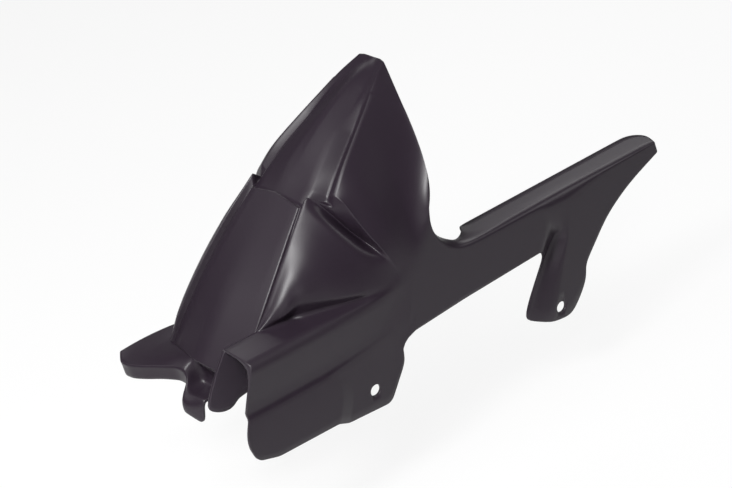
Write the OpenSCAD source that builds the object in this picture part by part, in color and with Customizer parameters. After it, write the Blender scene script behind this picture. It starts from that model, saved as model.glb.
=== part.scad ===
// Rear hugger mudguard for a motorcycle: one thin moulded shell.
// Origin: centre of the front bolt hole, halfway through the wall. X runs rearward,
// Y from the chain side towards the wheel and the far side, Z up.

/* [Shell] */
// thickness of the moulded sheet
wall_t = 3; // [2:0.5:5]
// distance from the wheel's mid-plane to the outer face of the chain-side wall
half_w = 103; // [90:1:120]
// height of the flat shelf (bridge top and arm flange) over the bolt hole
shelf_z = 103.6; // [92:0.2:116]
// height of the arch's peak over the bolt hole
peak_z = 290.6; // [260:0.2:320]

/* [Arch] */
// rise of the middle ridge over the panel at the step
ridge_h = 5.5; // [1:0.5:9]
// depth of the narrow groove beside the panel
groove_deep = 4; // [2:0.5:5]
// width of the narrow groove beside the panel
groove_w = 3.4; // [2.5:0.1:5]
// rise of the lower lobe over the panel's edge
lobe_h = 1; // [0:0.25:3]
// depth of the long flute in the upper part
flute_deep = 4.6; // [1:0.2:6]
// how far the rolled lip behind the step is tucked over the lower part
tuck_d = 4; // [2:0.5:5.5]
// width of the rounded lip down the rear edge
rear_lip = 5; // [3:0.5:9]

/* [Side wall] */
// inward lean of the side wall at the crease
lean_d = 6.5; // [2:0.5:9]
// depth of the small outward step under the crease
crease_d = 2.5; // [1:0.25:4]
// inward set of the mounting tab
tab_set = 4; // [2:0.5:7]
// hang of the mounting tab below the bolt hole
tab_drop = 26.2; // [18:0.2:36]

/* [Arm] */
// reach of the guard arm behind the bolt hole
arm_end = 416.2; // [360:0.2:480]
// width of the arm's top flange
flange_w = 39; // [24:1:50]
// inward bend at the front edge of the leg
leg_bend = 11; // [5:0.5:16]
// hang of the leg below the bolt hole
leg_drop = 44; // [36:1:60]

/* [Holes] */
// diameter of the front bolt hole
front_bore = 13; // [6:0.5:16]
// diameter of the leg's bolt hole
leg_bore = 13; // [6:0.5:16]
// distance along X between the two bolt holes
bore_gap_x = 254.3; // [240:0.1:270]
// drop of the leg's bolt hole below the front one
bore_drop = 26.1; // [18:0.1:32]

/* [Front end] */
// half width of the lower panel at its foot
foot_w = 57; // [50:0.5:62]
// reach of the far-side ear from the mid-plane
ear_w = 102; // [90:1:115]
// depth of the turned-down lip of the ear
ear_lip = 17; // [10:1:24]

/* [Hidden] */
S = half_w;

function mix(a, b, t) = a + (b - a) * t;
function unit(v) = v / max(norm(v), 1e-9);
function total(v, i = 0) = i == len(v) - 1 ? v[i] : v[i] + total(v, i + 1);
// tables are [row, values...]; these read one at any row, straight or smooth
function at(t, x, i = 0) = i >= len(t) - 2 || x <= t[i + 1][0] ? i : at(t, x, i + 1);
function frac(t, i, x) = max(0, min(1, (x - t[i][0]) / (t[i + 1][0] - t[i][0])));
function lin(t, x) = let (i = at(t, x), u = frac(t, i, x))
  [for (k = [1 : len(t[0]) - 1]) mix(t[i][k], t[i + 1][k], u)];
function rise(t, i, k) = (t[i + 1][k] - t[i][k]) / (t[i + 1][0] - t[i][0]);
function slope(t, i, k) = i == 0 ? rise(t, 0, k) : i == len(t) - 1 ? rise(t, i - 1, k)
  : (rise(t, i - 1, k) + rise(t, i, k)) / 2;
function soft(t, x) = let (i = at(t, x), u = frac(t, i, x), h = t[i + 1][0] - t[i][0])
  [for (k = [1 : len(t[0]) - 1])
    (2*u*u*u - 3*u*u + 1) * t[i][k] + (u*u*u - 2*u*u + u) * h * slope(t, i, k)
    + (3*u*u - 2*u*u*u) * t[i + 1][k] + (u*u*u - u*u) * h * slope(t, i + 1, k)];

// rows: 0 front edge, last_low end of the lower part, +1 sharp lip, +2 rounded fold,
// back the rear edge, back+1 its lip, then on along the guard arm
last_low = 18;
back = 38;
arm_end_row = 64;
side_n = 6;

// lower part: middle line [x,z], panel edge [x,w,z]
mid_low = [[0,-135.3,65.2],[4,-115,90],[8,-92,116],[12,-62,144.2],[16,-26,178.2],[18,-5.5,198]];
edge_low = [[0,-124.3,foot_w,59.7],[4,-108,56,81.5],[6.5,-93.1,54.7,100.5],[9,-77,52.6,119.8],
  [12,-56,49,143.5],[15,-32,44,169.2],[18,-8.5,38.2,192.8]];
// near side, lower part: top edge of the shoulder step and its foot [x,y,z]
sho_low = [[0,-134.6,-55.2,98.8],[4,-112,-55.2,98.8],[5,-105,-56,99.6],[6,-98,-57.6,100.6],[7,-90,-60,102.2],
  [9,-74,-62.5,104],[10,-66,-64,104.8],[11,-58,-66,106],[12,-50.5,-68.5,110],[13,-43,-71,112.5],
  [14,-31,-75.5,111],[15,-15,-82.5,108],[16,4,-90.5,104.8],[17,26,-98,103.2],[18,54,-101.2,110]];
foot_low = [[0,-134.6,-57.4,101],[4,-112,-57.4,101],[5,-105,-58.8,101.1],[6,-98,-61,101.2],[7,-90,-63,101.6],
  [9,-74,-66,102.1],[10,-66,-68,102.3],[11,-58,-67.8,102.6],[12,-50.5,-70.4,102.8],[13,-43,-72.6,102.8],
  [14,-31,-77,102.8],[15,-15,-84,102.2],[16,4,-92.2,101],[17,26,-100.4,100],[18,52,-102.3,104]];
bow_low = [[0,0],[5,0],[8,1],[10,3],[12,5],[14,8],[16,11],[18,12]];
// near side fold between the shelf and the wall [x,y,z]
fold_t = [[0,-134.6,99.5],[14,-28,97],[17,28,95.5],[18,48,95.5],[20,56,96],[28,78,98],[34,96,103],
  [38,113,115.5],[39,121,109],[40,131,103.4],[41,140,101],[46,241,101],[51,297,101],[58,345,101],
  [60,380,101],[61,402,101],[62,410,101],[63,415.5,101],[64,419,101]];
// the two rows of the step: tucked edge, then the sharp lip and the rounded fold behind it
step_lip = [[0,53.8,-101.1,109.8],[1,48.6,-99.9,121],[2,42,-96.4,134.4],[3,39.7,-82.4,142.1],
  [4,33.3,-74.4,152.3],[5,26.1,-66.4,162.8],[6,17.6,-58.4,174.6],[7,9.7,-52.5,185.3]];
step_fold = [[0,55,-101.3,110],[1,50.5,-100.3,121.3],[2,43.8,-98,135.6],[3,36.8,-93,149.1],[4,32.3,-87,161.9],
  [5,28.6,-79.6,175.1],[6,24.7,-71,192.4],[7,20.2,-60,200.3]];
// upper part: middle line, inner ridge and outer ridge
mid_up = [[19,-4,196],[20,3,203.4],[24,28,225.8],[28,58,246.4],[32,90,264.4],[35,115,276],[38,141,284.5]];
ridge_in = [[20,10.4,38.2,202.9],[24,30,33.2,219],[28,58,25.8,239.4],[32,90,20.6,258],[35,114,16.4,272],
  [38,138,12,284.5]];
ridge_out = [[20,20.9,59,199.6],[24,39,54.5,218.6],[28,65,45.8,238.8],[32,96,35,261.4],[35,117,27,276.6],
  [38,136.3,20,287.4]];
foot_up = [[20,53,-102.4,104],[24,66,-102.8,106],[30,83,-103,112],[34,93,-103,120],[38,103.5,-103,130]];
sho_up = [[20,55,-101.3,110],[24,66,-102,116],[30,81,-102.6,127],[34,90,-103,137],[38,99.3,-103,148]];
bow_up = [[20,11],[24,10],[28,7],[32,4],[35,2],[38,1]];
// rear edge between the shoulder and the outer ridge, by fraction
rear_edge = [[0,99.3,-103,148],[0.11,101.9,-102,166.2],[0.22,110,-97,179.1],[0.35,117.1,-88,193.5],
  [0.52,122.6,-76,210],[0.66,126.2,-65,227.6],[0.78,127.4,-56,242.4],[0.88,128.6,-47,256],
  [0.94,132.1,-34,272.3],[1,136.3,-20,287.4]];
// far side: trimmed lower edge [x,y,z] and the bow of the surface above it
far_low = [[0,-117,76,42],[4,-99,83,58],[8,-76,87,78],[12,-46,90,101],[16,-8,92,124],[18,16,94,137]];
far_up = [[20,30,97,144],[24,52,99,156],[28,74,100,167],[32,94,99,178],[35,106,98,185],[38,115,94,193]];
far_bow = [[0,2],[6,4],[12,6],[18,7],[24,8],[38,5]];

// near wall between its lower edge and the fold: four lines of [x, inset, z]
low_t = [[0,-153.5,0.5,13.3],[1,-150.1,0,1.4],[2,-145.2,0,-3.7],[4,-124,0,-10.5],[10,-49.6,0,-13.5],
  [11,-35.1,tab_set,-21.9],[15,16.2,tab_set,-tab_drop],[16,22,tab_set,-23.7],[18,41.2,tab_set-1,6.9],
  [19,43.8,tab_set-1.5,14.6],[20,42.9,tab_set-2.5,26.3],[22,46,1,32],[24,50.9,0.5,36.5],[27,61,0,40.5],
  [38,128,0,44.2],[39,136,0,44.5],[46,239.4,0,47.7],[47,253.2,leg_bend,32.5],[48,214.2,leg_bend,-23.2],
  [49,217.5,leg_bend-0.5,-30.8],[50,241.6,0,-41.3],[51,262,0,-leg_drop-0.4],[52,270.9,0,-leg_drop],
  [53,281,0,-leg_drop+7],[54,298.2,0,-13.6],[55,298.1,0,0.3],[56,303,0,9],[57,313.1,0,19.6],
  [58,333.7,0,43.2],[59,352,0,56.5],[60,376.1,0,70.3],[61,403,0,80.6],[62,412,0,84],[63,418,0,86.4],
  [64,421.9,0,87.7]];
mid_t = [[0,-154.2,1.5,25.9],[4,-124,1.5,20],[9,-52,1.5,18],[10,-30,2.5,26],[11,-16.5,tab_set,15.7],
  [15,16,tab_set,14],[16,24,tab_set,18],[18,36,tab_set-0.5,24],[20,40,tab_set-2,34],[22,45,1.5,42],
  [27,61,0,48],[38,122,0,64],[39,136,0,62],[46,243,0,53],[47,256,leg_bend,38.5],[48,252.5,leg_bend,30],
  [49,255,leg_bend-1,26],[50,266,0,22],[51,276,0,24],[52,285,0,26],[53,292,0,29],[54,302,0,34],[56,310,0,41],
  [58,337,0,63],[60,376,0,80],[63,417.5,0,90],[64,421.2,0,91]];
crease_lo = [[0,-146.8,lean_d-crease_d,42],[4,-124,lean_d-crease_d,41.5],[10,-53,lean_d-crease_d,40.5],
  [15,-8,lean_d-crease_d,44.5],[18,16,3,48],[20,30,2,50.5],[24,56,0,58],[38,118,0,82],[39,136,0,78],
  [46,252,0,68],[47,270.5,leg_bend,53.5],[48,271.6,leg_bend,52.2],[49,272.8,leg_bend-1,49.5],
  [50,275.6,0,41.7],[51,284,0,46],[52,292,0,50],[54,308,0,60],[56,323,0,70],[58,339,0,80],[60,376,0,88],
  [63,417,0,94],[64,420.4,0,94.5]];
crease_up = [[0,-147.4,lean_d,48],[4,-124,lean_d,46.5],[10,-53,lean_d,45.5],[15,-8,lean_d-1.5,49.5],
  [18,16,3.5,53],[20,30,2.2,56],[24,58,0,66],[38,115,0,100],[39,133,0,91],[46,254,0,84],[47,267,0,62],
  [48,270,0,59],[49,273.5,0,56],[50,279,0,51],[51,286,0,62],[52,294,0,68],[54,310,0,78],[56,325,0,86],
  [58,341,0,91],[60,376,0,95],[63,416.3,0,97.5],[64,419.6,0,97.5]];
// inner edge of the lip round the notch, then of the arm's flange [x, width, z]
flange_t = [[39,108.5,9.5,127],[40,119,10.5,117],[41,131,11.5,109],[42,140,16,103.6],[43,151,23,101],
  [44,160,29,101],[45,163.6,38,101],[46,168.5,39,101],[60,384,39,101],[61,404,39,101],[62,413,37.6,101],
  [63,422.5,31,101],[64,427,18,101]];

// sizes that move a whole group of points
bore_at = [2.8, -half_w + tab_set + wall_t / 2, -2.6];
top_z = shelf_z + bore_at[2];
function stretch(x) = x <= 320 ? x : 320 + (x - 320) * (arm_end + 2.8 - 320) / 99;
function lift(z) = z <= 101 ? z : top_z + (z - 101) * (peak_z - 2.6 - top_z) / 187;
function shelf(z) = z <= 60 ? z : z <= 101 ? 60 + (z - 60) * (top_z - 60) / 41 : z + top_z - 101;
function level(p) = [p[0], p[1], p[2] <= 101 ? shelf(p[2]) : lift(p[2])];
function wide(y) = abs(y) <= 60 ? y : sign(y) * (60 + (abs(y) - 60) * (S - 60) / 43);
function wall(t, i) = let (v = lin(t, i)) [stretch(v[0]), -S + v[1], shelf(v[2])];
function wall_row(i) = [wall(low_t, i), wall(mid_t, i), wall(crease_lo, i), wall(crease_up, i),
  let (v = lin(fold_t, i)) [stretch(v[0]), -S, v[1] > 101 && i < 40 ? level([0, 0, v[1]])[2] : shelf(v[1])]];

// points between the shoulder and the crest, bowed outward; side is -1 near, 1 far
function bowed(a, b, h, n, side) = let (d = b - a, o = unit([0, side * d[2], -side * d[1]]))
  [for (k = [1 : n]) let (u = k / (n + 1)) mix(a, b, u) + o * h * 4 * u * (1 - u)];
function flip(v) = [for (k = [len(v) - 1 : -1 : 0]) v[k]];
function place(p) = level([p[0], wide(p[1]), p[2]]);

up_low = [-0.72, 0, 0.69];
up_top = [-0.55, 0, 0.83];
// panel edge, groove and crest of the lower lobe, from the middle outward
function lobe_low(i, side) = let (v = soft(edge_low, i), p = [v[0], side * v[1], v[2]],
    room = side > 0 ? 1 : min(1, max(0.2, (-soft(sho_low, i)[1] - v[1]) / 15.2)),
    w = groove_w * room, q = max(0, min(1, i - last_low + 1.5) / 1.5))
  [p, p + [0, side * w * 0.6, 0] - up_low * groove_deep * room * (1 - 0.5 * q) + q * [2, 0, 1],
   p + [0, side * w, 0] - up_low * groove_deep * room * (1 - 0.7 * q) + q * [4, 0, 4],
   p + [0, side * (w + 2 * room), 0] + up_low * lobe_h * room + q * [10.7, -side * 0.6, 8.2],
   p + [1.5, side * (w + 6 * room), 0] + up_low * (lobe_h - 0.8) * room + q * [10, -side * 2.4, 7]];
// inner ridge, flute and outer ridge of the upper lobe
function lobe_up(i, side) = let (v = soft(ridge_in, i), w = soft(ridge_out, i),
    a = [v[0], side * v[1], v[2]], b = [w[0], side * w[1], w[2]], f = max(0, min(1, (back + 1 - i) / 9)))
  [a, mix(a, b, 0.16) - up_top * flute_deep * 0.6 * f, mix(a, b, 0.6) - up_top * (flute_deep * f + 0.2),
   mix(a, b, 0.78) - up_top * flute_deep * 0.5 * f, b];
function lobe_step(side) = [[-6, side * 38.2, 190.6], [3, side * 39.5, 195], [8, side * 44, 196],
  [10, side * 49, 190], [9, side * 53.5, 186]];
function mid(i) = i <= last_low ? let (v = soft(mid_low, i)) [v[0], 0, v[1]]
  : let (v = soft(mid_up, i)) [v[0], 0, v[1]];
// the ridge rises over the line between the panel's edges
function ridge(i) = let (m = mid(i)) m + (i <= last_low ? up_low : up_top) * (ridge_h - 5.5);

// one row across the whole shell, from the near wall's edge over the arch to the far edge
function far_part(i, lobe) = let (e = i <= last_low ? soft(far_low, i) : soft(far_up, i))
  concat(lobe, flip(bowed(e, lobe[4], soft(far_bow, i)[0], 4, 1)), [e]);
// in front, the near side climbs the inner wall of the bridge instead of a lobe
function near_front(i) = let (v = soft(edge_low, i), s = soft(sho_low, i), q = min(1, i / 6.5),
    a = [v[0] - 3 * (1 - q), -54.2 - 0.5 * q, v[2]], b = s)
  concat([s], [for (k = [1 : side_n]) mix(b, a, 0.2 + 0.44 * k / (side_n + 1))],
    [for (u = [0.66, 0.74, 0.82, 0.91, 1]) mix(b, a, u)]);
function near_low(i) = let (l = lobe_low(i, -1), s = soft(sho_low, i))
  concat([s], bowed(s, l[4], soft(bow_low, i)[0], side_n, -1), flip(l));
function near_up(i) = let (l = lobe_up(i, -1), s = soft(sho_up, i), b = bowed(s, l[4], soft(bow_up, i)[0], side_n, -1),
    u = max(0, (i - 30) / (back - 30)), t = u * u * (3 - 2 * u),
    g = max(0, 1 - (i - last_low - 2) / 5))
  concat([s], [for (k = [0 : side_n - 1])
    let (p = mix(b[k], soft(rear_edge, (k + 1) / (side_n + 1)), t)) mix(p, lin(step_fold, k + 1), g * g)], flip(l));
function row(i) = let (w = wall_row(i)) concat(
  w,
  [i <= last_low ? place(soft(foot_low, i)) : place(soft(foot_up, max(20, i)))],
  [for (p = i < 6.5 ? near_front(i) : i < last_low ? near_low(i)
    : i == last_low ? tucked() : i == last_low + 1 ? sharp() : near_up(i)) place(p)],
  [place(ridge(i))],
  [for (p = i == last_low + 1 ? far_part(i, lobe_step(1))
    : far_part(i, i <= last_low ? lobe_low(i, 1) : lobe_up(i, 1))) place(p)]);
function sharp() = concat([for (k = [0 : side_n]) lin(step_lip, k)], flip(lobe_step(-1)));
function tucked() = let (l = lobe_low(last_low, -1)) concat([for (k = [0 : side_n])
  let (p = lin(step_lip, k), f = max(0, min(1, (k - 2) / 1.5)))
    p + mix([-2.4, 0.5, -0.4], unit([0.25, 0.75, -0.6]) * tuck_d, f)], flip(l));

// the lip that rolls inward down the rear edge
function rear_lip_row() = let (r = row(back), n = len(r)) concat(
  wall_row(back + 1), [flange_pt(back + 1)],
  [for (j = [6 : n - 1]) let (p = r[j], d = unit([0, -p[1], 100 - p[2]]), f = abs(p[1]) < 60 ? 0.6 : 1)
    p + [1.2, 0, 0] + d * rear_lip * f]);
function flange_pt(i) = let (v = lin(flange_t, i)) [stretch(v[0]), -S + v[1] * flange_w / 39,
  v[2] > 101 ? level([0, 0, v[2]])[2] : shelf(v[2])];

function seat(g) = [for (r = g) [for (p = r) p - bore_at]];
shell = concat([for (i = [0 : back]) row(i)], [rear_lip_row()],
  [for (i = [back + 2 : arm_end_row]) concat(wall_row(i), [flange_pt(i)])]);

// far-side ear: rows outward from the middle, each from its root to the bead and down the lip
ear_t = [[0,-132.8,65,-143.5,55,2,-150,33.5,2],[1,-130.9,63.9,-144.3,55.2,12,-144.5,38.5,12],
  [2,-128.4,62.7,-146.2,55.2,25,-144.5,38.2,24],[3,-125.1,61,-157,54.6,42,-154,38,41],
  [4,-122.3,59.6,-166.5,54,57,-164,37,56],[5,-110,59,-173.5,53.6,71,-171.5,36.5,69.5],
  [6,-99,60,-174.5,53.8,84,-173.5,37,82],[7,-97,60.5,-166,55.6,97,-167.5,42,94]];
ear_y = [[0,2],[1,12],[2,25],[3,42],[4,56],[5,70],[6,82],[7,87]];
function ear_row(i) = let (v = lin(ear_t, i), f = pow(i / 7, 4), a = [v[0], lin(ear_y, i)[0], v[1]],
    b = [v[2], v[4], v[3]], c = [v[5], v[7], v[6]], k = (ear_w - 60) / 42)
  [for (p = concat([for (u = [0, 0.2, 0.45, 0.7, 0.88]) mix(a, b, u) + [0, 5 * f, 1.2 - 2 * f] * 4 * u * (1 - u)],
    [b + [0.6, 0, 0.4], b + [-0.4, 0, -1.6], mix(b, c, 0.35), mix(c, b, 1 - ear_lip / 17 * 0.99)]))
    [p[0], p[1] <= 60 ? p[1] : 60 + (p[1] - 60) * k, p[2]]];
ear = [for (i = [0 : 0.5 : 7]) ear_row(i)];

// small hook under the chin: near end and far end profiles [x, z]
hook_near = [[-131,60.5],[-126.5,49],[-131,39],[-150.5,38],[-153.5,34],[-154.5,27],[-157,13]];
hook_far = [[-131,60.5],[-127,48],[-131,36],[-149.5,33],[-157,30.5],[-163,27],[-161.5,20.5]];
hook = [for (u = [0 : 0.25 : 1]) [for (k = [0 : 6]) let (p = mix(hook_near[k], hook_far[k], u)) [p[0], mix(-25, 4, u), p[1]]]];
// wall that closes the pocket between the ear's lip and the chin
pocket = let (f = [[-150,33.6],[-147.2,45],[-143.8,55.4]], b = [[-130.5,37],[-127.2,49],[-132,64.6]])
  [for (u = [0, 0.5, 1]) [for (k = [0 : 2]) [mix(f[k][0], b[k][0], u), 0.6, mix(f[k][1], b[k][1], u)]]];
// hanging wall on the wheel side of the bridge
hang_t = [[0,-134.4,-166.3,49.5],[1,-131.5,-162,43.5],[2,-128,-153,38],[3,-124,-143,35.5],[4,-120.5,-136,38],
  [5,-117,-130,43.5],[6,-112,-118,43],[7,-107,-108,50]];
inner_wall = [for (i = [0 : 7]) let (v = hang_t[i]) [for (u = [0, 0.3, 0.65, 1])
  [mix(v[1], v[2], u) - (10 - 1.4 * i) * u * (1 - u), -56.2, mix(top_z - 1, v[3], u)]]];

// a sheet of points becomes a closed solid: g is a list of rows that may shorten
function has(g, i, j) = i >= 0 && i < len(g) - 1 && j >= 0 && j < len(g[i]) - 1 && j < len(g[i + 1]) - 1;
function starts(g, i = 0, s = 0) = i == len(g) ? [s] : concat([s], starts(g, i + 1, s + len(g[i])));
function corner(a, b, c) = unit(cross(b - a, c - a));
function around(g, i, j) = [for (n = [
  if (has(g, i, j)) corner(g[i][j], g[i + 1][j], g[i][j + 1]),
  if (has(g, i - 1, j)) corner(g[i][j], g[i][j + 1], g[i - 1][j]),
  if (has(g, i - 1, j - 1)) corner(g[i][j], g[i - 1][j], g[i][j - 1]),
  if (has(g, i, j - 1)) corner(g[i][j], g[i][j - 1], g[i + 1][j])]) n];
function inward(g, i, j, t) = let (n = around(g, i, j), m = unit(total(n)), c = total([for (v = n) v * m]) / len(n))
  g[i][j] - m * t / max(0.5, c);
function sheet_points(g, t) = concat([for (r = g) for (p = r) p],
  [for (i = [0 : len(g) - 1]) for (j = [0 : len(g[i]) - 1]) inward(g, i, j, t)]);
function sheet_faces(g) = let (st = starts(g), n = st[len(g)]) [for (i = [0 : len(g) - 2]) for (j = [0 : len(g[i]) - 2])
  if (has(g, i, j)) let (a = st[i] + j, b = st[i + 1] + j, c = b + 1, d = a + 1)
    for (f = concat([[a, c, b], [a, d, c], [n + a, n + b, n + c], [n + a, n + c, n + d]],
      has(g, i, j - 1) ? [] : [[a, b, n + b], [a, n + b, n + a]],
      has(g, i + 1, j) ? [] : [[b, c, n + c], [b, n + c, n + b]],
      has(g, i, j + 1) ? [] : [[c, d, n + d], [c, n + d, n + c]],
      has(g, i - 1, j) ? [] : [[d, a, n + a], [d, n + a, n + d]])) f];
module sheet(g, t = wall_t) polyhedron(sheet_points(g, t), sheet_faces(g));

module hugger() color("#26252a") difference() {
  union() {
    sheet(seat(shell));
    sheet(seat(ear));
    sheet(seat(hook));
    sheet(seat(pocket));
    sheet(seat(inner_wall));
  }
  translate([0, -9, 0]) rotate([-90, 0, 0]) cylinder(d = front_bore, h = 18, $fn = 48);
  translate([bore_gap_x, -13, -bore_drop]) rotate([-90, 0, 0]) cylinder(d = leg_bore, h = 18, $fn = 48);
}

hugger();
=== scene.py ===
import math

import bmesh
import bpy
from mathutils import Matrix, Vector


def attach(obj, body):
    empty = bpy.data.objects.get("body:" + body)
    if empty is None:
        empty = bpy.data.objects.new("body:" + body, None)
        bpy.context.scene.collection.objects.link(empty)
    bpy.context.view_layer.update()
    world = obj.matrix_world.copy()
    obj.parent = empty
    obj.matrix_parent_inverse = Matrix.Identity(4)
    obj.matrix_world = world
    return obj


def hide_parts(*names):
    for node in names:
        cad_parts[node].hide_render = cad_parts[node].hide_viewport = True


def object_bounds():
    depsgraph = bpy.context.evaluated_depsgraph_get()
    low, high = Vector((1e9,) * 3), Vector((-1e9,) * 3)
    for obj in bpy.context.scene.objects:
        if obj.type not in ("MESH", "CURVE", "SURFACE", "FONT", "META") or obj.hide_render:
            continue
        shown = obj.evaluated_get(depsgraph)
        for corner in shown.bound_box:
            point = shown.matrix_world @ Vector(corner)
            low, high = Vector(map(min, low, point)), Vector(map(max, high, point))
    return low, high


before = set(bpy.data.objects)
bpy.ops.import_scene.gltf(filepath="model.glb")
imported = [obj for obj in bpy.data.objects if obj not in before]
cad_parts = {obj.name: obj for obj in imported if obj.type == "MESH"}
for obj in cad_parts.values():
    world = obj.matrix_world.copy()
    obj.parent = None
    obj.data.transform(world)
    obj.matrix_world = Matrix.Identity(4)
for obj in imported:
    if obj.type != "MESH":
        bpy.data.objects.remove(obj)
cadBox = [list(p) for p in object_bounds()]
scene = bpy.context.scene


# camera, at the photograph's viewing angle
cameraSetup = {
    "place": (-0.91172, -1.33531, 1.02099),
    "right": (0.76191, -0.62961, -0.15195),
    "up": (0.40475, 0.27969, 0.87061),
    "back": (-0.50564, -0.72482, 0.46793),
    "lens": 93.44,
    "sensor": 36,
    "farClip": 30,
}


def addCamera(look):
    data = bpy.data.cameras.new("camera")
    data.lens = look["lens"]
    data.sensor_width = look["sensor"]
    data.sensor_fit = "HORIZONTAL"
    data.clip_end = look["farClip"]
    cam = bpy.data.objects.new("camera", data)
    scene.collection.objects.link(cam)
    turn = Matrix((look["right"], look["up"], look["back"])).transposed().to_4x4()
    cam.matrix_world = Matrix.Translation(Vector(look["place"])) @ turn
    scene.camera = cam


addCamera(cameraSetup)
print("camera placed")

# the moulding, in millimetres from the wheel's mid-plane; closedSheet moves it to the bolt hole
moulding = {
    "wall": 3.0,              # sheet thickness
    "halfWidth": 103.0,       # mid-plane to the chain-side wall
    "origin": (2.8, -97.5, -2.6),    # the front bolt hole, halfway through the tab
    "grooveDeep": 3.0,
    "grooveWide": 2.2,
    "lobeRise": (4.6, 1.2),   # far side, near side
    "lobeOut": (1.8, 0.0),
    "lobeRoom": 15.2,         # groove to shoulder, where the near lobe has its full width
    "fluteDeep": 7.0,
    "fluteWide": 23.0,        # ridge to ridge, where the flute has its full depth
    "tuck": 4.0,              # lap of the rolled lip over the front lobe
    "rearLip": 5.0,           # how far the rear edge is turned in
    "rearLipAim": 100.0,      # height that the rear lip turns towards
    "lean": 6.5,              # the wall's upper crease, in from the wall's plane
    "creaseStep": 2.5,        # from the upper crease back out to the lower one
    "tabSet": 4.0,            # the bolt tab, in from the wall
    "legBend": 11.0,          # the leg's front edge, in from the wall
    "hangTop": 100.0,         # the inner wall hangs from here
    "hangPlane": -56.2,
    "boreRadius": 6.5,
    "bores": ((2.8, -2.6), (257.1, -28.7)),    # x and z of each hole
    "bitLong": 18.0,          # the cutter for a hole
    "bitMiddle": -3.0,        # from the bolt hole's middle plane
}
lastLow, back, armEndRow, sideCount = 18, 38, 64, 6
turnRow = 6.5    # the near side leaves the front edge here
tabIn, legIn = moulding["tabSet"], moulding["legBend"]
leanIn, lowIn = moulding["lean"], moulding["lean"] - moulding["creaseStep"]

# columns of an arch row, from the wall's lower edge over the wheel to the far edge
creaseLow, creaseUp, fold, foot, shoulder = 2, 3, 4, 5, 6
nearRidge, nearFlute, nearGroove, nearEdge, middle = 13, 15, 16, 17, 18
farEdge, farGroove, farFlute, farTop, farRidge, farRim = 19, 20, 21, 22, 23, 28

# lines of the part: an entry's first number is its station, and the rest are the values there
# most stations are row numbers; stepLip, stepFold and rearEdge run up the near side instead
midLow = [[0, -135.3, 65.2], [4, -115, 90], [8, -92, 116], [12, -62, 144.2], [16, -26, 178.2],
          [18, -5.5, 198]]
edgeLow = [[0, -124.3, 57, 59.7], [4, -108, 56, 81.5], [6.5, -93.1, 54.7, 100.5], [9, -77, 52.6, 119.8],
           [12, -56, 49, 143.5], [15, -32, 44, 169.2], [18, -8.5, 38.2, 192.8]]
shoulderLow = [[0, -134.6, -55.2, 98.8], [4, -112, -55.2, 98.8], [5, -105, -56, 99.6],
               [6, -98, -57.6, 100.6], [7, -91.4, -62, 103.5], [9, -77.5, -67.5, 107.3],
               [10, -71.6, -71, 109.6], [11, -63.2, -74, 113], [12, -53.5, -75.5, 117],
               [13, -44, -80, 116.8], [14, -28.6, -86, 113.6], [15, -12.5, -92, 110.8],
               [16, 3.5, -96.5, 107.8], [17, 24, -100, 104], [18, 54, -101.2, 110]]
footLow = [[0, -134.6, -57.4, 101], [4, -112, -57.4, 101], [5, -105, -58.8, 101.1], [6, -98, -61, 101.2],
           [7, -90, -63, 101.6], [9, -74, -66, 102.1], [10, -66, -66.5, 102.3], [11, -59, -67.4, 102.6],
           [12, -53.5, -72.5, 102.8], [13, -44, -76.5, 102.8], [14, -28.6, -82.5, 102.8],
           [15, -12.5, -89, 102.4], [16, 3.5, -94, 101.6], [17, 24, -99.6, 100.8], [18, 52, -102.3, 104]]
bowLow = [[0, 0], [5, 0], [8, 2], [10, 3.5], [12, 5], [14, 7], [16, 8], [17, 9.5], [18, 12]]
foldLine = [[0, -134.6, 99.5], [14, -28, 97], [17, 28, 95.5], [18, 48, 95.5], [20, 56, 96], [28, 78, 98],
            [34, 96, 103], [38, 113, 115.5], [39, 121, 109], [40, 131, 103.4], [41, 140, 101],
            [46, 241, 101], [51, 297, 101], [58, 345, 101], [60, 380, 101], [61, 402, 101],
            [62, 410, 101], [63, 415.5, 101], [64, 419, 101]]
stepLip = [[0, 53.8, -101.1, 109.8], [1, 48.6, -99.9, 121], [2, 42, -96.4, 134.4],
           [3, 39.7, -82.4, 142.1], [4, 33.3, -74.4, 152.3], [5, 26.1, -66.4, 162.8], [6, 18, -60, 178.6],
           [7, 9.7, -52.5, 185.3]]
stepFold = [[0, 55, -101.3, 110], [1, 50.5, -100.3, 121.3], [2, 43.8, -98, 135.6], [3, 36.8, -93, 149.1],
            [4, 32.3, -87, 161.9], [5, 28.6, -79.6, 175.1], [6, 24.7, -71, 192.4], [7, 20.2, -60, 200.3]]
midUp = [[19, -4, 196], [20, 3, 204.4], [24, 28, 228.4], [28, 58, 249.6], [32, 90, 267.6],
         [35, 115, 278.6], [38, 141, 286]]
ridgeIn = [[20, 10.4, 38.2, 202.9], [24, 30, 33.2, 219], [28, 58, 25.8, 239.4], [32, 90, 20.6, 258],
           [35, 114, 16.4, 273], [38, 138, 12, 288.4]]
ridgeOut = [[20, 20.9, 59, 199.6], [24, 39, 54.5, 218.6], [28, 65, 45.8, 238.8], [32, 96, 35, 261.4],
            [35, 117, 27, 276.6], [38, 136.3, 20, 287.4]]
footUp = [[20, 53, -102.4, 104], [24, 66, -102.8, 106], [30, 83, -103, 112], [34, 93, -103, 120],
          [38, 103.5, -103, 130]]
shoulderUp = [[20, 55, -101.3, 110], [24, 66, -102, 116], [30, 81, -102.6, 127], [34, 90, -103, 137],
              [38, 99.3, -103, 148]]
bowUp = [[20, 11], [24, 10], [28, 7], [32, 4], [35, 2], [38, 1]]
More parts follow.
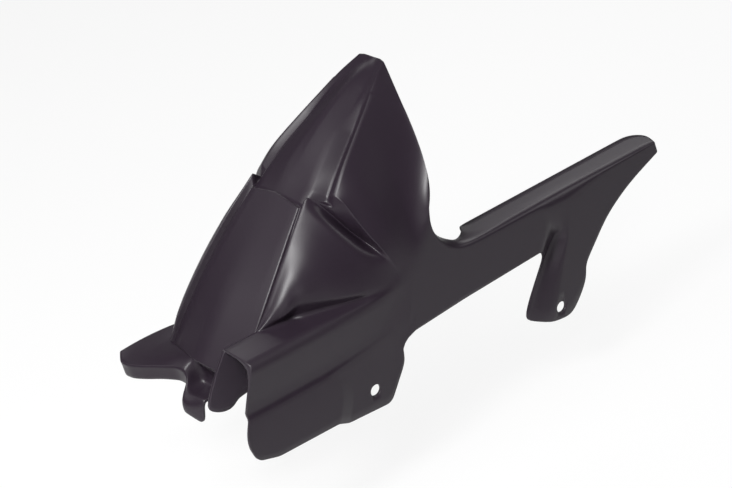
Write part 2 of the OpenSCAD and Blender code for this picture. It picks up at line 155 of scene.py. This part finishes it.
rearEdge = [[0, 99.3, -103, 148], [0.11, 101.9, -102, 166.2], [0.22, 110, -97, 179.1],
            [0.35, 117.1, -88, 193.5], [0.52, 122.6, -76, 210], [0.66, 126.2, -65, 227.6],
            [0.78, 127.4, -56, 242.4], [0.88, 128.6, -47, 256], [0.94, 132.1, -34, 272.3],
            [1, 136.3, -20, 287.4]]
farLow = [[0, -117, 76, 42], [4, -99, 83, 58], [8, -76, 87, 78], [12, -46, 90, 101], [16, -8, 92, 124],
          [18, 16, 94, 137]]
farUp = [[20, 30, 97, 144], [24, 52, 99, 156], [28, 74, 100, 167], [32, 94, 99, 178], [35, 106, 98, 185],
         [38, 115, 94, 193]]
farBow = [[0, 2], [6, 4], [12, 6], [18, 7], [24, 8], [38, 5]]
wallLow = [[0, -153.5, 0.5, 13.3], [1, -150.1, 0, 1.4], [2, -145.2, 0, -3.7], [4, -124, 0, -10.5],
           [10, -49.6, 0, -13.5], [11, -35.1, tabIn, -21.9], [15, 16.2, tabIn, -26.2],
           [16, 22, tabIn, -23.7], [18, 41.2, tabIn - 1, 6.9], [19, 43.8, tabIn - 1.5, 14.6],
           [20, 42.9, tabIn - 2.5, 26.3], [22, 46, 1, 32], [24, 50.9, 0.5, 36.5], [27, 61, 0, 40.5],
           [38, 128, 0, 44.2], [39, 136, 0, 44.5], [46, 239.4, 0, 47.7], [47, 253.2, legIn, 32.5],
           [48, 214.2, legIn, -23.2], [49, 217.5, legIn - 0.5, -30.8], [50, 241.6, 0, -41.3],
           [51, 262, 0, -44.4], [52, 270.9, 0, -44], [53, 281, 0, -37], [54, 298.2, 0, -13.6],
           [55, 298.1, 0, 0.3], [56, 303, 0, 9], [57, 313.1, 0, 19.6], [58, 333.7, 0, 43.2],
           [59, 352, 0, 56.5], [60, 376.1, 0, 70.3], [61, 403, 0, 80.6], [62, 412, 0, 84],
           [63, 418, 0, 86.4], [64, 421.9, 0, 87.7]]
wallMid = [[0, -154.2, 1.5, 25.9], [4, -124, 1.5, 20], [9, -52, 1.5, 18], [10, -30, 2.5, 26],
           [11, -16.5, tabIn, 15.7], [15, 16, tabIn, 14], [16, 24, tabIn, 18], [18, 36, tabIn - 0.5, 24],
           [20, 40, tabIn - 2, 34], [22, 45, 1.5, 42], [27, 61, 0, 48], [38, 122, 0, 64],
           [39, 136, 0, 62], [46, 243, 0, 53], [47, 256, legIn, 38.5], [48, 252.5, legIn, 30],
           [49, 255, legIn - 1, 26], [50, 266, 0, 22], [51, 276, 0, 24], [52, 285, 0, 26],
           [53, 292, 0, 29], [54, 302, 0, 34], [56, 310, 0, 41], [58, 337, 0, 63], [60, 376, 0, 80],
           [63, 417.5, 0, 90], [64, 421.2, 0, 91]]
wallCreaseLow = [[0, -146.8, lowIn, 42], [4, -124, lowIn, 41.5], [10, -53, lowIn, 40.5],
                 [15, -8, lowIn, 44.5], [18, 16, 3, 48], [20, 30, 2, 50.5], [24, 56, 0, 58],
                 [38, 118, 0, 82], [39, 136, 0, 78], [46, 252, 0, 68], [47, 270.5, legIn, 53.5],
                 [48, 271.6, legIn, 52.2], [49, 272.8, legIn - 1, 49.5], [50, 275.6, 0, 41.7],
                 [51, 284, 0, 46], [52, 292, 0, 50], [54, 308, 0, 60], [56, 323, 0, 70], [58, 339, 0, 80],
                 [60, 376, 0, 88], [63, 417, 0, 94], [64, 420.4, 0, 94.5]]
wallCreaseUp = [[0, -147.4, leanIn, 48], [4, -124, leanIn, 46.5], [10, -53, leanIn, 45.5],
                [15, -8, leanIn - 1.5, 49.5], [18, 16, 3.5, 53], [20, 30, 2.2, 56], [24, 58, 0, 66],
                [38, 115, 0, 100], [39, 133, 0, 91], [46, 254, 0, 84], [47, 267, 0, 62], [48, 270, 0, 59],
                [49, 273.5, 0, 56], [50, 279, 0, 51], [51, 286, 0, 62], [52, 294, 0, 68],
                [54, 310, 0, 78], [56, 325, 0, 86], [58, 341, 0, 91], [60, 376, 0, 95],
                [63, 416.3, 0, 97.5], [64, 419.6, 0, 97.5]]
flangeLine = [[39, 108.5, 9.5, 127], [40, 119, 10.5, 117], [41, 131, 11.5, 109], [42, 140, 16, 103.6],
              [43, 151, 23, 101], [44, 160, 29, 101], [45, 163.6, 38, 101], [46, 168.5, 39, 101],
              [60, 384, 39, 101], [61, 404, 39, 101], [62, 413, 37.6, 101], [63, 422.5, 31, 101],
              [64, 427, 18, 101]]
earLine = [[0, -132.8, 65, -143.5, 55, 2, -150, 33.5, 2],
           [1, -130.9, 63.9, -144.3, 55.2, 12, -144.5, 38.5, 12],
           [2, -128.4, 62.7, -146.2, 55.2, 25, -144.5, 38.2, 24],
           [3, -125.1, 61, -157, 54.6, 42, -154, 38, 41], [4, -122.3, 59.6, -166.5, 54, 57, -164, 37, 56],
           [5, -110, 59, -173.5, 53.6, 71, -171.5, 36.5, 69.5],
           [6, -99, 60, -174.5, 53.8, 84, -173.5, 37, 82], [7, -97, 60.5, -166, 55.6, 97, -167.5, 42, 94]]
earRoot = [[0, 2], [1, 12], [2, 25], [3, 42], [4, 56], [5, 70], [6, 82], [7, 87]]
# chin: from the hook's near end to the neck beside the ear
# each row is y, then x and z from the panel's edge to the lip
chinLine = [
    [-27, -131, 60.5, -127, 52, -126, 44, -130, 39,
     -140, 38.4, -150.5, 38, -153.8, 33, -154.5, 26, -157, 13],
    [-16, -131, 60.5, -127, 52, -126, 44, -130, 38.4,
     -140, 37.4, -151, 37, -155.5, 32, -157.5, 26, -158.6, 15.5],
    [-5, -131.2, 60.8, -127, 52, -126, 44, -130.5, 37.6,
     -141, 36.6, -151.5, 37, -157.5, 32.6, -160.5, 27, -160.4, 18],
    [4, -131.8, 61.6, -128, 53, -127.5, 44.5, -131.5, 38,
     -141, 38, -151.5, 39, -158, 35.6, -162.3, 28, -161.5, 20.5],
    [8.2, -133.2, 64.4, -134.4, 60.6, -136, 56.4, -138, 52.4,
     -140.5, 49.8, -143.2, 47.6, -144.2, 44.8, -145.5, 42, -146.5, 39],
]
hangLine = [[0, -134.4, -166.3, 49.5], [1, -131.5, -162, 43.5], [2, -128, -153, 38],
            [3, -124, -143, 35.5], [4, -120.5, -136, 38], [5, -117, -130, 43.5], [6, -112, -118, 43],
            [7, -107, -108, 50]]

upLow, upTop = Vector((-0.72, 0, 0.69)), Vector((-0.55, 0, 0.83))    # out of the lower and upper panels


# reading the lines: straight between stations, or along a smooth curve through them
def findStation(line, x):
    i = 0
    while i < len(line) - 2 and x > line[i + 1][0]:
        i += 1
    return i, max(0.0, min(1.0, (x - line[i][0]) / (line[i + 1][0] - line[i][0])))


def readStraight(line, x):
    i, u = findStation(line, x)
    return [a + (b - a) * u for a, b in zip(line[i][1:], line[i + 1][1:])]


def stationSlope(line, i, k):
    def rise(j):
        return (line[j + 1][k] - line[j][k]) / (line[j + 1][0] - line[j][0])
    if i == 0:
        return rise(0)
    return rise(i - 1) if i == len(line) - 1 else (rise(i - 1) + rise(i)) / 2


def readCurve(line, x):
    i, u = findStation(line, x)
    h = line[i + 1][0] - line[i][0]
    return [(2*u**3 - 3*u*u + 1) * line[i][k] + (u**3 - 2*u*u + u) * h * stationSlope(line, i, k)
            + (3*u*u - 2*u**3) * line[i + 1][k] + (u**3 - u*u) * h * stationSlope(line, i + 1, k)
            for k in range(1, len(line[0]))]


def wallRow(i):
    w = -moulding["halfWidth"]
    row = []
    for line in (wallLow, wallMid, wallCreaseLow, wallCreaseUp):
        v = readStraight(line, i)
        row.append(Vector((v[0], w + v[1], v[2])))
    v = readStraight(foldLine, i)
    return row + [Vector((v[0], w, v[1]))]


# n points from a to b, pushed out by h at the middle
def bowedPoints(a, b, h, n, side):
    d = b - a
    out = Vector((0, side * d.z, -side * d.y)).normalized()
    shares = [k / (n + 1) for k in range(1, n + 1)]
    return [a.lerp(b, u) + out * h * 4 * u * (1 - u) for u in shares]


# panel edge, two groove points, lobe top and lobe side; q spreads them towards the step
def lowerLobe(i, side):
    v = readCurve(edgeLow, i)
    p = Vector((v[0], side * v[1], v[2]))
    room = 1.0
    if side < 0:
        room = min(1.0, max(0.2, (-readCurve(shoulderLow, i)[1] - v[1]) / moulding["lobeRoom"]))
    w = moulding["grooveWide"] * room
    deep = moulding["grooveDeep"] * room
    rise = moulding["lobeRise"][side < 0] * min(1.0, 0.3 + i / 6)
    out = moulding["lobeOut"][side < 0] * min(1.0, i / 6)
    q = max(0.0, min(1.0, (i - lastLow + 3) / 3))
    return [p, p + Vector((2*q, side * w * 0.6, q)) - upLow * deep * (1 - 0.5 * q),
            p + Vector((4*q, side * w, 4*q)) - upLow * deep * (1 - 0.7 * q),
            p + Vector((10.7*q, side * (w + 2*room - 0.6*q + out), 8.2*q)) + upLow * rise * room,
            p + Vector((1.5 + 10*q, side * (w + 6*room - 2.4*q + out), 7*q)) + upLow * (rise - 1.2) * room]


# inner ridge, three flute points and outer ridge; the flute runs out towards the rear
def upperLobe(i, side):
    v, w = readCurve(ridgeIn, i), readCurve(ridgeOut, i)
    a, b = Vector((v[0], side * v[1], v[2])), Vector((w[0], side * w[1], w[2]))
    f = max(0.0, min(1.0, (back - 3 - i) / 6))
    deep = moulding["fluteDeep"] * f * (b - a).length / moulding["fluteWide"]
    return [a, a.lerp(b, 0.2) - upTop * (deep * 0.24), a.lerp(b, 0.6) - upTop * deep,
            a.lerp(b, 0.8) - upTop * (deep * 0.55), b]


def stepLobe(side):
    points = ((-6, 38.2, 190.6), (8, 43, 194.5), (17, 50.5, 190), (18.5, 56, 188), (17.5, 59.5, 186.5))
    return [Vector((x, side * y, z)) for x, y, z in points]


def farSide(i, lobe):
    e = Vector(readCurve(farLow if i <= lastLow else farUp, i))
    return lobe + bowedPoints(e, lobe[4], readCurve(farBow, i)[0], 4, 1)[::-1] + [e]


def frontNear(i):
    v, s = readCurve(edgeLow, i), Vector(readCurve(shoulderLow, i))
    q = min(1.0, i / turnRow)
    a = Vector((v[0] - 3 * (1 - q), -54.2 - 0.5 * q, v[2]))
    shares = [0.2 + 0.44 * k / (sideCount + 1) for k in range(1, sideCount + 1)] + [0.66, 0.74, 0.82, 0.91, 1]
    return [s] + [s.lerp(a, u) for u in shares]


def lowerNear(i):
    lobe, s = lowerLobe(i, -1), Vector(readCurve(shoulderLow, i))
    return [s] + bowedPoints(s, lobe[4], readCurve(bowLow, i)[0], sideCount, -1) + lobe[::-1]


# the side blends into the step's fold at its front and into the rear edge at its back
def upperNear(i):
    lobe, s = upperLobe(i, -1), Vector(readCurve(shoulderUp, i))
    side = bowedPoints(s, lobe[4], readCurve(bowUp, i)[0], sideCount, -1)
    u = max(0.0, (i - 30) / (back - 30))
    t, g = u * u * (3 - 2 * u), max(0.0, 1 - (i - lastLow - 2) / 5)
    out = []
    for k, p in enumerate(side):
        p = p.lerp(Vector(readCurve(rearEdge, (k + 1) / (sideCount + 1))), t)
        out.append(p.lerp(Vector(readStraight(stepFold, k + 1)), g * g))
    return [s] + out + lobe[::-1]


# the front lobe's last row, tucked under the lip
def tuckedNear():
    under = Vector((0.25, 0.75, -0.6)).normalized() * moulding["tuck"]
    out = []
    for k in range(sideCount + 1):
        share = max(0.0, min(1.0, (k - 2) / 1.5))
        out.append(Vector(readStraight(stepLip, k)) + Vector((-2.4, 0.5, -0.4)).lerp(under, share))
    return out + lowerLobe(lastLow, -1)[::-1]


def lipNear():
    return [Vector(readStraight(stepLip, k)) for k in range(sideCount + 1)] + stepLobe(-1)[::-1]


def archRow(i):
    row = wallRow(i)
    row.append(Vector(readCurve(footLow, i)) if i <= lastLow else Vector(readCurve(footUp, max(20, i))))
    if i == lastLow + 1:
        near, far = lipNear(), stepLobe(1)
    elif i == lastLow:
        near, far = tuckedNear(), lowerLobe(i, 1)
    elif i < lastLow:
        near, far = (frontNear(i) if i < turnRow else lowerNear(i)), lowerLobe(i, 1)
    else:
        near, far = upperNear(i), upperLobe(i, 1)
    m = readCurve(midLow if i <= lastLow else midUp, i)
    return row + near + [Vector((m[0], 0, m[1]))] + farSide(i, far)


def flangePoint(i):
    v = readStraight(flangeLine, i)
    return Vector((v[0], -moulding["halfWidth"] + v[1], v[2]))


def rearLipRow(last):
    row = wallRow(back + 1) + [flangePoint(back + 1)]
    for p in last[shoulder:]:
        inward = Vector((0, -p.y, moulding["rearLipAim"] - p.z)).normalized()
        row.append(p + Vector((1.2, 0, 0)) + inward * moulding["rearLip"] * (0.6 if abs(p.y) < 60 else 1))
    return row


def earRow(i):
    v, f = readStraight(earLine, i), (i / 7) ** 4
    a = Vector((v[0], readStraight(earRoot, i)[0], v[1]))
    b, c = Vector((v[2], v[4], v[3])), Vector((v[5], v[7], v[6]))
    swell = Vector((0, 5 * f, 1.2 - 2 * f))
    top = [a.lerp(b, u) + swell * 4 * u * (1 - u) for u in (0, 0.2, 0.45, 0.7, 0.88)]
    return top + [b + Vector((0.6, 0, 0.4)), b + Vector((-0.4, 0, -1.6)), b.lerp(c, 0.35), c]


def hangRow(k):
    v = readStraight(hangLine, k)
    y, top = moulding["hangPlane"], moulding["hangTop"]
    return [Vector((v[0] + (v[1] - v[0]) * u - (10 - 1.4 * k) * u * (1 - u), y, top + (v[2] - top) * u))
            for u in (0, 0.3, 0.65, 1)]


# a grid of points becomes a closed sheet; rows may get shorter
def closedSheet(bm, grid, creases, rimCrease):
    wall, move = moulding["wall"], Vector(moulding["origin"])
    outer, inner = [], []

    def faceAt(i, j):
        return 0 <= i < len(grid) - 1 and 0 <= j < len(grid[i]) - 1 and j < len(grid[i + 1]) - 1

    def cornerNormals(i, j):
        around = (((i, j), (i + 1, j), (i, j + 1)), ((i - 1, j), (i, j + 1), (i - 1, j)),
                  ((i - 1, j - 1), (i - 1, j), (i, j - 1)), ((i, j - 1), (i, j - 1), (i + 1, j)))
        out = []
        for used, a, b in around:
            if faceAt(*used):
                n = (grid[a[0]][a[1]] - grid[i][j]).cross(grid[b[0]][b[1]] - grid[i][j])
                if n.length > 1e-6:
                    out.append(n.normalized())
        return out

    def over(q):
        return outer[q[0]][q[1]]

    def below(q):
        return inner[q[0]][q[1]]

    for i, row in enumerate(grid):
        top, under = [], []
        for j, p in enumerate(row):
            ns = cornerNormals(i, j) or [Vector((0, 0, 1))]
            m = sum(ns, Vector()).normalized()
            c = sum(n.dot(m) for n in ns) / len(ns)
            top.append(bm.verts.new((p - move) / 1000))
            under.append(bm.verts.new((p - m * wall / max(0.5, c) - move) / 1000))
        outer.append(top)
        inner.append(under)
    layer = bm.edges.layers.float.get("crease_edge") or bm.edges.layers.float.new("crease_edge")

    for i in range(len(grid) - 1):
        for j in range(len(grid[i]) - 1):
            if not faceAt(i, j):
                continue
            a, b, c, d = (i, j), (i + 1, j), (i + 1, j + 1), (i, j + 1)
            bm.faces.new((over(a), over(b), over(c), over(d)))
            bm.faces.new((below(d), below(c), below(b), below(a))).material_index = 1
            sides = (((i, j - 1), a, b), ((i + 1, j), b, c), ((i, j + 1), c, d), ((i - 1, j), d, a))
            for used, p, q in sides:
                if not faceAt(*used):
                    bm.faces.new((over(q), over(p), below(p), below(q)))
                    for e in (bm.edges.get((over(p), over(q))), bm.edges.get((below(p), below(q)))):
                        e[layer] = rimCrease
    for verts in (outer, inner):
        for weight, path in creases:
            points = [verts[i][j] for i, j in path if i < len(verts) and j < len(verts[i])]
            for p, q in zip(points, points[1:]):
                e = bm.edges.get((p, q))
                if e:
                    e[layer] = max(e[layer], weight)


stations = [k / 2 for k in range(2 * lastLow + 1)] + [lastLow + 1]
stations += [k / 2 for k in range(2 * lastLow + 4, 2 * back + 1)]
arch = [archRow(i) for i in stations]
armRows = [wallRow(i) + [flangePoint(i)] for i in range(back + 2, armEndRow + 1)]
shellGrid = arch + [rearLipRow(arch[-1])] + armRows
lastArch, lipAt = len(arch) - 1, stations.index(lastLow + 1)
lowCount = stations.index(lastLow)
crossing = stations.index(turnRow)
fluteEnd = lastArch - 8


def down(j, a, b):
    return [(i, j) for i in range(a, b + 1)]


def across(i, a, b):
    return [(i, j) for j in range(a, b + 1)]


shellCreases = [
    (0.8, down(fold, 0, len(shellGrid))), (0.7, down(creaseLow, 0, crossing * 3)),
    (0.7, down(creaseUp, 0, crossing * 3)), (0.85, down(foot, 0, crossing)),
    (0.7, down(foot, crossing, lowCount - 3)), (0.85, down(shoulder, 0, crossing)),
    (0.9, down(shoulder, crossing, lowCount - 3)), (0.9, down(nearEdge, 0, fluteEnd)),
    (0.8, down(nearGroove, crossing, lowCount)), (0.85, down(nearRidge, lipAt, fluteEnd - 1)),
    (0.8, down(nearFlute, lipAt, fluteEnd)), (0.6, down(middle, 0, lowCount)),
    (0.9, down(middle, lipAt, lastArch)), (0.9, down(farEdge, 0, fluteEnd)),
    (0.7, down(farGroove, 0, lowCount)), (0.8, down(farFlute, lipAt, fluteEnd)),
    (0.8, down(farTop, 0, lowCount)), (0.9, down(farRidge, lipAt, fluteEnd)),
    (0.95, across(lipAt, shoulder + 3, farRim)), (0.8, across(lipAt - 1, shoulder + 3, farRim)),
    (0.7, across(lipAt + 1, shoulder + 3, farRidge)), (0.8, across(lastArch, shoulder, farRim)),
]
legRows = [len(shellGrid) - 1 - (armEndRow - k) for k in (46, 47, 49, 50)]
shellCreases += [(0.85, across(r, 0, creaseUp)) for r in legRows]
tabRows = [stations.index(k) for k in (10, 11)]
shellCreases += [(0.85, across(r, 0, 1)) for r in tabRows]


# satin moulded plastic: outer faces, and the duller inner faces; the inner colour is about twice the outer
# one, painted light that brightens the inner faces where they lie in shade
plastic = {
    "outer": {"colour": (0.0185, 0.0125, 0.0195), "rough": 0.36, "grain": 0.05, "mottle": 0.06, "spec": 0.3},
    # inner colour: the same plastic made lighter, painted light for the shaded inner faces
    "inner": {"colour": (0.037, 0.028, 0.039), "rough": 0.6, "grain": 0.25, "mottle": 0.08, "spec": 0.25},
    "grainScale": 900.0,
    "grainDetail": 3,
    "grainDepth": 0.0003,     # metres
    "mottleScale": 9,
    "mottleDetail": 4,
    "edgeHighlightRange": (0.52, 0.62),    # pointiness where the painted edge highlight starts and where it is brightest
    "edgeHighlightMost": 0.5,
    "edgeHighlightColour": (0.055, 0.05, 0.056, 1),
}


def mathNode(tree, operation, a, b):
    node = tree.nodes.new("ShaderNodeMath")
    node.operation = operation
    for k, value in enumerate((a, b)):
        if isinstance(value, float):
            node.inputs[k].default_value = value
        else:
            tree.links.new(value, node.inputs[k])
    return node.outputs[0]


# surface grain, mottled roughness, and a painted highlight that pales the sharp convex edges
def makeGrainAndEdgeHighlightGroup():
    group = bpy.data.node_groups.new("mouldGrainAndEdgeHighlight", "ShaderNodeTree")
    for name, kind in (("Scale", "NodeSocketFloat"), ("Mottle", "NodeSocketFloat"),
                       ("Rough", "NodeSocketFloat"), ("Colour", "NodeSocketColor")):
        group.interface.new_socket(name, in_out="INPUT", socket_type=kind)
    for name, kind in (("Height", "NodeSocketFloat"), ("Roughness", "NodeSocketFloat"),
                       ("Base", "NodeSocketColor")):
        group.interface.new_socket(name, in_out="OUTPUT", socket_type=kind)
    nodes, links = group.nodes, group.links
    start, end = nodes.new("NodeGroupInput"), nodes.new("NodeGroupOutput")
    place = nodes.new("ShaderNodeTexCoord")
    fine = nodes.new("ShaderNodeTexNoise")
    fine.inputs["Detail"].default_value = plastic["grainDetail"]
    links.new(place.outputs["Object"], fine.inputs["Vector"])
    links.new(start.outputs["Scale"], fine.inputs["Scale"])
    links.new(fine.outputs["Fac"], end.inputs["Height"])
    broad = nodes.new("ShaderNodeTexNoise")
    broad.inputs["Scale"].default_value = plastic["mottleScale"]
    broad.inputs["Detail"].default_value = plastic["mottleDetail"]
    links.new(place.outputs["Object"], broad.inputs["Vector"])
    centred = mathNode(group, "SUBTRACT", broad.outputs["Fac"], 0.5)
    vary = mathNode(group, "MULTIPLY", centred, start.outputs["Mottle"])
    links.new(mathNode(group, "ADD", start.outputs["Rough"], vary), end.inputs["Roughness"])
    # sharp convex edges paled by pointiness: a painted edge highlight
    shape = nodes.new("ShaderNodeNewGeometry")
    edgeHighlight = nodes.new("ShaderNodeMapRange")
    edgeHighlight.inputs["From Min"].default_value = plastic["edgeHighlightRange"][0]
    edgeHighlight.inputs["From Max"].default_value = plastic["edgeHighlightRange"][1]
    edgeHighlight.inputs["To Max"].default_value = plastic["edgeHighlightMost"]
    links.new(shape.outputs["Pointiness"], edgeHighlight.inputs["Value"])
    mix = nodes.new("ShaderNodeMix")
    mix.data_type = "RGBA"
    mix.inputs["B"].default_value = plastic["edgeHighlightColour"]
    links.new(edgeHighlight.outputs[0], mix.inputs["Factor"])
    links.new(start.outputs["Colour"], mix.inputs["A"])
    links.new(mix.outputs["Result"], end.inputs["Base"])
    return group


def makePlastic(name, look, group):
    mat = bpy.data.materials.new(name)
    mat.use_nodes = True
    nodes, links = mat.node_tree.nodes, mat.node_tree.links
    shader = nodes["Principled BSDF"]
    shader.inputs["Specular IOR Level"].default_value = look["spec"]
    grain = nodes.new("ShaderNodeGroup")
    grain.node_tree = group
    grain.inputs["Scale"].default_value = plastic["grainScale"]
    grain.inputs["Mottle"].default_value = look["mottle"]
    grain.inputs["Rough"].default_value = look["rough"]
    grain.inputs["Colour"].default_value = (*look["colour"], 1)
    bump = nodes.new("ShaderNodeBump")
    bump.inputs["Strength"].default_value = look["grain"]
    bump.inputs["Distance"].default_value = plastic["grainDepth"]
    links.new(grain.outputs["Height"], bump.inputs["Height"])
    links.new(bump.outputs["Normal"], shader.inputs["Normal"])
    links.new(grain.outputs["Roughness"], shader.inputs["Roughness"])
    links.new(grain.outputs["Base"], shader.inputs["Base Color"])
    return mat


grainAndEdgeHighlightGroup = makeGrainAndEdgeHighlightGroup()
skins = [makePlastic("satinPlastic", plastic["outer"], grainAndEdgeHighlightGroup),
         makePlastic("dullInnerPaintedLightPlastic", plastic["inner"], grainAndEdgeHighlightGroup)]
print("plastic made")


def bake(piece):
    graph = bpy.context.evaluated_depsgraph_get()
    mesh = bpy.data.meshes.new_from_object(piece.evaluated_get(graph))
    piece.modifiers.clear()
    piece.data = mesh


def smoothMesh(name, sheets, levels, rimCrease):
    bm = bmesh.new()
    for grid, creases in sheets:
        closedSheet(bm, grid, creases, rimCrease)
    bmesh.ops.recalc_face_normals(bm, faces=bm.faces)
    mesh = bpy.data.meshes.new(name)
    bm.to_mesh(mesh)
    bm.free()
    for skin in skins:
        mesh.materials.append(skin)
    piece = bpy.data.objects.new(name, mesh)
    scene.collection.objects.link(piece)
    mod = piece.modifiers.new("rounding", "SUBSURF")
    mod.levels = mod.render_levels = levels
    bake(piece)
    return piece


def drill(piece):
    move, radius = moulding["origin"], moulding["boreRadius"] / 1000
    for x, z in moulding["bores"]:
        bm = bmesh.new()
        bmesh.ops.create_cone(bm, cap_ends=True, segments=64, radius1=radius, radius2=radius,
                              depth=moulding["bitLong"] / 1000)
        mesh = bpy.data.meshes.new("bit")
        bm.to_mesh(mesh)
        bm.free()
        bit = bpy.data.objects.new("bit", mesh)
        scene.collection.objects.link(bit)
        place = ((x - move[0]) / 1000, moulding["bitMiddle"] / 1000, (z - move[2]) / 1000)
        bit.matrix_world = Matrix.Translation(place) @ Matrix.Rotation(math.pi / 2, 4, "X")
        bpy.context.view_layer.update()
        mod = piece.modifiers.new("bore", "BOOLEAN")
        mod.operation = "DIFFERENCE"
        mod.solver = "EXACT"
        mod.object = bit
        bake(piece)
        bpy.data.objects.remove(bit)


shell = smoothMesh("huggerShell", [(shellGrid, shellCreases)], levels=2, rimCrease=0.93)
drill(shell)
print("shell built and drilled")

# chin and ear in one sheet, and the inner wall that hangs from the bridge
chinGrid = [[Vector((v[k], v[0], v[k + 1])) for k in range(1, 19, 2)] for v in chinLine]
earGrid = [earRow(k / 2) for k in range(2, 15)]
earStart, earEnd = len(chinGrid), len(chinGrid) + len(earGrid) - 1
frontCreases = [
    (0.5, down(5, earStart, earEnd)), (0.4, down(6, earStart, earEnd)),
    (0.6, down(5, 0, earStart - 1)), (0.5, down(3, 0, earStart - 2)),
]
hangGrid = [hangRow(k) for k in range(8)]
frontEnd = smoothMesh("huggerFrontEnd", [(chinGrid + earGrid, frontCreases), (hangGrid, [])],
                      levels=2, rimCrease=0.85)
bpy.ops.object.select_all(action="DESELECT")
shell.select_set(True)
frontEnd.select_set(True)
bpy.context.view_layer.objects.active = shell
bpy.ops.object.join()
for p in shell.data.polygons:
    p.use_smooth = True
print("front end joined, faces:", len(shell.data.polygons))

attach(shell, "root")
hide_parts("hugger")
print("piece named")

# pale floor, soft lights, in metres and watts
studio = {
    "floorDrop": 0.10,      # below the lowest point of the part
    "floorHalf": 9,
    "floorColour": (0.86, 0.86, 0.86, 1),
    "floorRough": 0.9,
    "floorShare": 0.88,     # how much of the floor the camera sees as plain white
    "floorGlow": 0.3,       # how brightly gloss sees the floor
    "world": 0.07,
    "aim": (0.05, 0.08, 0.1),
    "lamps": {
        "key": {"place": (-1.07, -0.44, 1.34), "size": 0.4, "power": 26},
        "near": {"place": (-0.81, -1.4, 0.46), "size": 0.75, "power": 2.5},
        "top": {"place": (-0.83, 0.08, 1.62), "size": 0.75, "power": 9.5},
        "rim": {"place": (1.29, 0.8, 1.1), "size": 0.75, "power": 4.3},
        "far": {"place": (-1.19, 0.8, 1.1), "size": 0.75, "power": 2.4},
        "back": {"place": (0.77, 1.32, 1.1), "size": 0.75, "power": 2.4},
        "side": {"place": (-0.67, 1.32, 1.1), "size": 0.75, "power": 1.0},
        "arm": {"place": (1.29, -0.64, 1.1), "size": 0.75, "power": 4.5},
        "lobe": {"place": (-0.7, -0.7, 1.48), "size": 0.4, "power": 8},
    },
}


def addLamp(name, look):
    data = bpy.data.lights.new(name, "AREA")
    data.shape = "DISK"
    data.size = look["size"]
    data.energy = look["power"]
    lamp = bpy.data.objects.new(name, data)
    scene.collection.objects.link(lamp)
    place = Vector(look["place"])
    turn = (Vector(studio["aim"]) - place).to_track_quat("-Z", "Y").to_matrix().to_4x4()
    lamp.matrix_world = Matrix.Translation(place) @ turn


# the camera sees mostly plain white here, and the shadow shows through the rest
def makeFloorPaint():
    mat = bpy.data.materials.new("paleFloor")
    mat.use_nodes = True
    tree = mat.node_tree
    shader, out = tree.nodes["Principled BSDF"], tree.nodes["Material Output"]
    shader.inputs["Base Color"].default_value = studio["floorColour"]
    shader.inputs["Roughness"].default_value = studio["floorRough"]
    glow = tree.nodes.new("ShaderNodeEmission")
    path = tree.nodes.new("ShaderNodeLightPath")
    direct = mathNode(tree, "MAXIMUM", path.outputs["Is Camera Ray"], path.outputs["Is Transmission Ray"])
    gloss = mathNode(tree, "MULTIPLY", path.outputs["Is Glossy Ray"], studio["floorGlow"])
    seen = mathNode(tree, "MAXIMUM", direct, gloss)
    blend = tree.nodes.new("ShaderNodeMixShader")
    tree.links.new(mathNode(tree, "MULTIPLY", seen, studio["floorShare"]), blend.inputs[0])
    tree.links.new(shader.outputs[0], blend.inputs[1])
    tree.links.new(glow.outputs[0], blend.inputs[2])
    tree.links.new(blend.outputs[0], out.inputs["Surface"])
    return mat


def addFloor():
    bm = bmesh.new()
    bmesh.ops.create_grid(bm, x_segments=2, y_segments=2, size=studio["floorHalf"])
    mesh = bpy.data.meshes.new("floor")
    bm.to_mesh(mesh)
    bm.free()
    mesh.materials.append(makeFloorPaint())
    floor = bpy.data.objects.new("floor", mesh)
    floor.location = (0, 0, cadBox[0][2] - studio["floorDrop"])
    scene.collection.objects.link(floor)


# white to the camera, dim to everything else
def addWorld():
    world = bpy.data.worlds.new("studio")
    scene.world = world
    world.use_nodes = True
    nodes, links = world.node_tree.nodes, world.node_tree.links
    sky = nodes["Background"]
    sky.inputs["Color"].default_value = (1, 1, 1, 1)
    path = nodes.new("ShaderNodeLightPath")
    seen = nodes.new("ShaderNodeMapRange")
    seen.inputs["To Min"].default_value = studio["world"]
    seen.inputs["To Max"].default_value = 1.0
    links.new(path.outputs["Is Camera Ray"], seen.inputs["Value"])
    links.new(seen.outputs[0], sky.inputs["Strength"])


for name, look in studio["lamps"].items():
    addLamp(name, look)
addFloor()
addWorld()
scene.view_settings.view_transform = "Standard"
print("studio ready")
